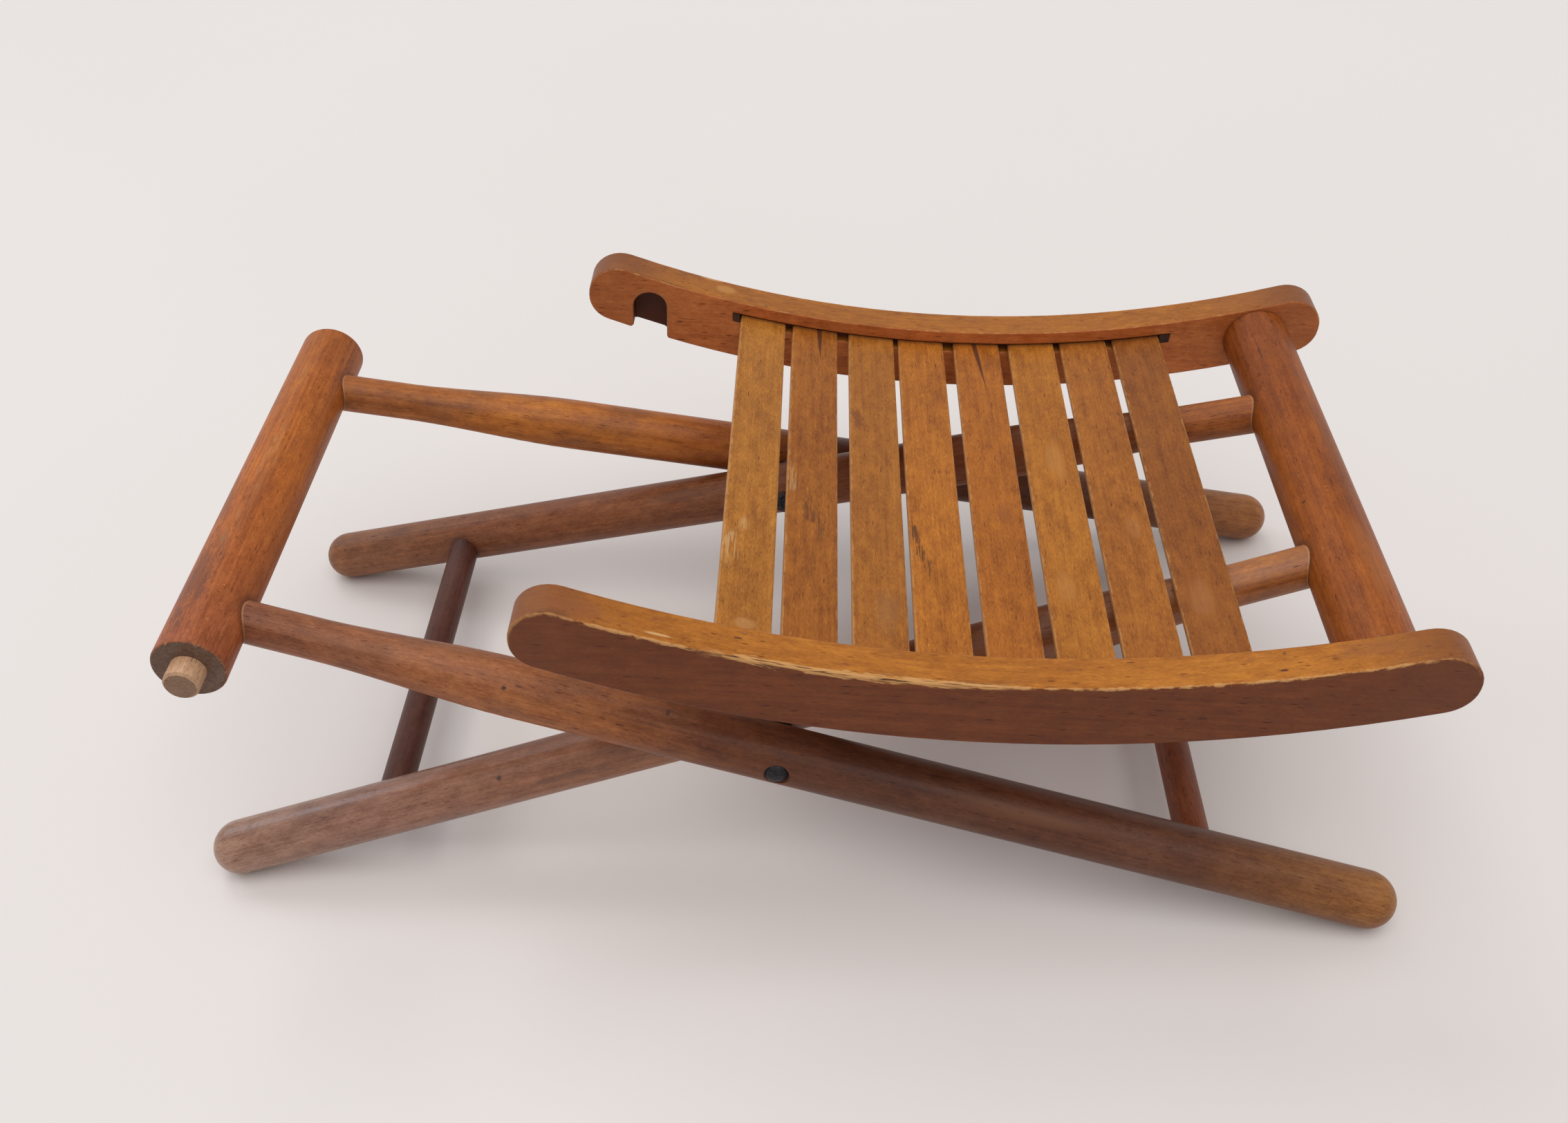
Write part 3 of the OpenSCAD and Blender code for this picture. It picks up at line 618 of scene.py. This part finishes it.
def leg_line(name):
    """The start of a leg on its bar's axis, and its direction to the foot."""
    low, high = (Vector(corner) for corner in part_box(name))
    kind = name.split("_")[0]
    bar_place = HOOK_BAR if kind == "outer" else SEAT_BAR
    sign = 1 if name.endswith("far") else -1
    top_y, foot_y = LEG_Y[kind]
    foot_x = high.x - FOOT_R * MM if kind == "outer" else low.x + FOOT_R * MM
    top = Vector((bar_place.x, sign * top_y * MM, bar_place.z))
    foot = Vector((foot_x, sign * foot_y * MM, FOOT_R * MM))
    return top, (foot - top).normalized()


def leg(name, seed):
    kind = name.split("_")[0]
    origin, axis = leg_line(name)
    graph = Graph(name + "_beech")
    grain = grain_place(graph, origin, axis, Y_AXIS)
    along, side, up = graph.split(grain)
    # Tones down the leg; on the outer legs their dark middle stretch is painted shadow of the seat
    tone = graph.ramp(graph.math("DIVIDE", along, LEG_SPAN), LEG_TONES_AND_SHADOW[name])
    patch = graph.range(graph.noise(grain, (0.02, 0.05, 0.05), 3.0, 0.6), 0.5, 0.72)
    tone = graph.mix(graph.times(patch, 0.45), tone, LEG_PATCH)
    made = beech(graph, grain, tone, seed, mottle=1.1, speckle=1.1, figure=1.3, ticks=0.5, flecks=0.5)
    # Marks, among them the painted shadow and the painted patch of light on the near outer leg
    for place, length, width, colour, strength in LEG_MARKS_AND_PAINTED_LIGHT[name]:
        offset = Vector(place) * MM - origin
        middle = tuple(offset.dot(part) / MM for part in grain_axes(axis, Y_AXIS))
        mask = blot(graph, made, grain, middle, (length, width, width), ragged=0.4)
        stain(graph, made, mask, colour, strength, rough=0.05, sink=0.2)

    # Dark pits, and fine dents across the grain towards the foot
    pits = graph.dashes(made["place"], 1.5, 0.9, 0.02)
    stain(graph, made, pits, DIRT, 0.8, sink=0.6)
    crossed = graph.vector("ADD", graph.join(up, along, side), (7, 3, 5))
    dents = graph.dashes(crossed, 9.0, 0.5, 0.12)
    dents = graph.times(dents, graph.range(along, 0.6 * LEG_SPAN, 0.75 * LEG_SPAN))
    stain(graph, made, dents, DENT, 0.5, sink=0.5)

    # Pale seam at the bar, dirt round the rivet and the stretcher, greyer dome at the foot
    from_bar = graph.line_distance(HOOK_BAR if kind == "outer" else SEAT_BAR, Y_AXIS)
    stain(graph, made, graph.fade(from_bar, BAR_R + 0.4, BAR_R + 0.9), SEAM, 0.4)
    from_rivet = graph.line_distance(RIVET, Y_AXIS)
    stain(graph, made, graph.fade(from_rivet, *RIVET_RING), DIRT, 0.75)
    from_stretcher = graph.line_distance(centre(f"{kind}_stretcher"), Y_AXIS)
    inside = graph.range(graph.times(side, -1 if name.endswith("far") else 1), 0.0, 3.0)
    ring = graph.fade(from_stretcher, *STRETCHER_RING)
    stain(graph, made, graph.times(ring, inside), DIRT, 0.4)
    dome = graph.range(graph.normal_along(axis), 0.35, 0.95)
    stain(graph, made, dome, DOME, DOME_STRENGTH[kind], rough=0.12)
    polish = graph.range(along, 0.55 * LEG_SPAN, 0.75 * LEG_SPAN)
    made["rough"] = graph.add_scaled(polish, -POLISH[name], made["rough"])
    return finish(graph, made, gloss=0.28 + 1.4 * POLISH[name])


def plain_beech(name, along, side, tone, seed, end=END_GRAIN, **looks):
    """A small turned piece: one tone, with end grain at its ends."""
    graph = Graph(name + "_beech")
    grain = grain_place(graph, centre(name), along, side)
    colour = graph.mix(graph.end_face(along), tone, end)
    return finish(graph, beech(graph, grain, colour, seed, **looks))


BARE_METAL = srgb(112, 110, 116)


def steel(name, tone, dark, metallic=0.6, scratched=0.3):
    """Old dark steel, scratched and dull, with darker cloudy patches."""
    graph = Graph(name + "_steel")
    place = grain_place(graph, centre(name), Y_AXIS, X_AXIS)
    cloud = graph.noise(place, (0.5, 0.5, 0.5), 4.0, 0.65)
    scratch = graph.noise(place, (0.4, 0.5, 5.0), 3.0, 0.6)
    colour = graph.mix(graph.range(cloud, 0.4, 0.62), dark, tone)
    bright = graph.times(graph.range(scratch, 0.55, 0.66), scratched)
    graph.wire(graph.shader["Base Color"], graph.mix(bright, colour, BARE_METAL))
    graph.wire(graph.shader["Roughness"], graph.add_scaled(cloud, 0.35, 0.3))
    graph.shader["Metallic"].default_value = metallic
    graph.bump(graph.add_scaled(scratch, 0.6, graph.times(cloud, 0.6)), STEEL_RELIEF)
    return graph.material


# Seeds of the wood's pattern. The slats take 1 to 8, and far rails and legs differ from near ones
SEEDS = {"rail": 11, "crossbar_hook": 21, "crossbar_seat": 22, "outer_leg": 30, "inner_leg": 32,
         "dowel": 41, "stretcher": 51, "plug": 61}
# Colours of the small pieces: wood and its ends, or steel and its darker patches
DOWEL, DOWEL_END = srgb(204, 161, 126), srgb(134, 104, 82)
STRETCHERS = {"inner_stretcher": srgb(86, 50, 40), "outer_stretcher": srgb(124, 68, 43)}
# The groove plugs' dark tone is painted shade, as of open pockets at the groove ends
PLUG_POCKET_SHADE = srgb(66, 40, 27)
RIVET_STEEL = srgb(40, 38, 44), srgb(18, 15, 16)
WASHER_STEEL = srgb(74, 66, 62), srgb(34, 28, 26)
VARNISHED_STEEL = srgb(160, 98, 40), srgb(126, 74, 32)
RAIL_ARRIS = 0.9


def dress_all():
    for index in SLAT_TONES:
        dress(f"slat_{index}", slat(index))
    for side in ("near", "far"):
        dress(f"rail_{side}", rail(side))
        ease(f"rail_{side}", RAIL_ARRIS)
        for kind in ("outer_leg", "inner_leg"):
            name = f"{kind}_{side}"
            dress(name, leg(name, SEEDS[kind] + (side == "far")))
        for kind in ("hook", "seat"):
            name = f"{kind}_dowel_{side}"
            dress(name, plain_beech(name, Y_AXIS, X_AXIS, DOWEL, SEEDS["dowel"], DOWEL_END,
                                    mottle=0.4, ticks=0.3))
        dress(f"rivet_{side}", steel(f"rivet_{side}", *RIVET_STEEL))
    for name, kind in (("crossbar_hook", "outer_leg"), ("crossbar_seat", "inner_leg")):
        dress(name, bar(name, (f"{kind}_near", f"{kind}_far"), SEEDS[name]))
    for name, tone in STRETCHERS.items():
        dress(name, plain_beech(name, Y_AXIS, X_AXIS, tone, SEEDS["stretcher"],
                                mottle=0.9, ticks=0.4, flecks=0.4))
    for name in ("rivet_spacers", "rivet_burrs"):
        dress(name, steel(name, *WASHER_STEEL))
    # The brads' heads are varnished over with the rails, so they look like wood
    dress("slat_brads", steel("slat_brads", *VARNISHED_STEEL, metallic=0.0, scratched=0.0))
    # Groove plugs painted dark as the shade of open pockets
    dress("groove_plugs", plain_beech("groove_plugs", X_AXIS, Y_AXIS, PLUG_POCKET_SHADE, SEEDS["plug"], mottle=2.0))


dress_all()

# Camera at the photograph's place, solved in the stool's own frame
IMAGE_W = 2268
FOCAL_PX = 2094.7
OFFSET_PX = (-37.8, -1.9)
CAMERA_PLACE = Vector((31.5, -536.7, 582.5)) * MM
YAW, PITCH, ROLL = (math.radians(angle) for angle in (-4.655, 41.682, -3.595))
SENSOR = 36.0


def show(name, data):
    """Puts a new object of the given data in the scene."""
    thing = bpy.data.objects.new(name, data)
    bpy.context.scene.collection.objects.link(thing)
    return thing


def make_camera():
    flat = math.cos(PITCH)
    forward = Vector((math.sin(YAW) * flat, math.cos(YAW) * flat, -math.sin(PITCH)))
    level = Vector((math.cos(YAW), -math.sin(YAW), 0))
    rise = level.cross(forward)
    right = level * math.cos(ROLL) + rise * math.sin(ROLL)
    up = rise * math.cos(ROLL) - level * math.sin(ROLL)
    camera = show("camera", bpy.data.cameras.new("camera"))
    turn = Matrix((right, up, -forward)).transposed().to_4x4()
    camera.matrix_world = Matrix.Translation(CAMERA_PLACE) @ turn
    camera.data.sensor_fit = "HORIZONTAL"
    camera.data.sensor_width = SENSOR
    camera.data.lens = SENSOR * FOCAL_PX / IMAGE_W
    camera.data.shift_x = -OFFSET_PX[0] / IMAGE_W
    camera.data.shift_y = OFFSET_PX[1] / IMAGE_W
    bpy.context.scene.camera = camera


FLOOR_HALF = 6.0
FLOOR_DROP = 0.2 * MM
FLOOR_TINTS = srgb(232, 226, 224), srgb(238, 233, 231)


def make_floor():
    corners = [(x * FLOOR_HALF, y * FLOOR_HALF, 0) for x, y in ((-1, -1), (1, -1), (1, 1), (-1, 1))]
    mesh = bpy.data.meshes.new("floor")
    mesh.from_pydata(corners, [], [(0, 1, 2, 3)])
    floor = show("floor", mesh)
    floor.location.z = -FLOOR_DROP
    graph = Graph("pale_floor")
    place = graph.node("ShaderNodeTexCoord").outputs["Object"]
    tint = graph.noise(place, (1.3, 1.3, 1.3))
    graph.wire(graph.shader["Base Color"], graph.mix(tint, *FLOOR_TINTS))
    graph.shader["Roughness"].default_value = 0.55
    mesh.materials.append(graph.material)


# Far soft lamps: direction to the lamp, spread of its disc in degrees, strength, colour
LAMPS = {
    "top": ((0.05, -0.28, 1.0), 62, 1.5, (1.0, 0.98, 0.96)),
    "key": ((-0.35, 0.65, 0.95), 25, 0.36, (1.0, 0.97, 0.93)),
    "cool": ((-0.7, 0.4, 0.55), 19, 0.31, (0.76, 0.88, 1.0)),
}
# The world's colour as light on rough surfaces, and as the camera and smooth surfaces see it
WORLD_LIGHT = (0.37, 0.37, 0.37, 1)
WORLD_SEEN = (0.78, 0.76, 0.75, 1)


def make_lamps():
    for name, (direction, spread, strength, colour) in LAMPS.items():
        light = bpy.data.lights.new(name, "SUN")
        light.angle = math.radians(spread)
        light.energy = strength
        light.color = colour
        lamp = show(name, light)
        lamp.rotation_euler = Vector(direction).to_track_quat("Z", "Y").to_euler()


def make_world():
    world = bpy.data.worlds.new("pale")
    bpy.context.scene.world = world
    world.use_nodes = True
    tree = world.node_tree
    background = tree.nodes["Background"]
    ray = tree.nodes.new("ShaderNodeLightPath")
    mix = tree.nodes.new("ShaderNodeMix")
    mix.data_type = "RGBA"
    seen = ray.outputs["Is Camera Ray"]
    for kind in ("Is Glossy Ray", "Is Transmission Ray"):
        either = tree.nodes.new("ShaderNodeMath")
        either.operation = "MAXIMUM"
        tree.links.new(seen, either.inputs[0])
        tree.links.new(ray.outputs[kind], either.inputs[1])
        seen = either.outputs[0]
    tree.links.new(seen, mix.inputs["Factor"])
    mix.inputs[6].default_value = WORLD_LIGHT
    mix.inputs[7].default_value = WORLD_SEEN
    tree.links.new(mix.outputs[2], background.inputs["Color"])
    background.inputs["Strength"].default_value = 1.0


make_camera()
make_floor()
make_lamps()
make_world()
bpy.context.scene.view_settings.view_transform = "Standard"
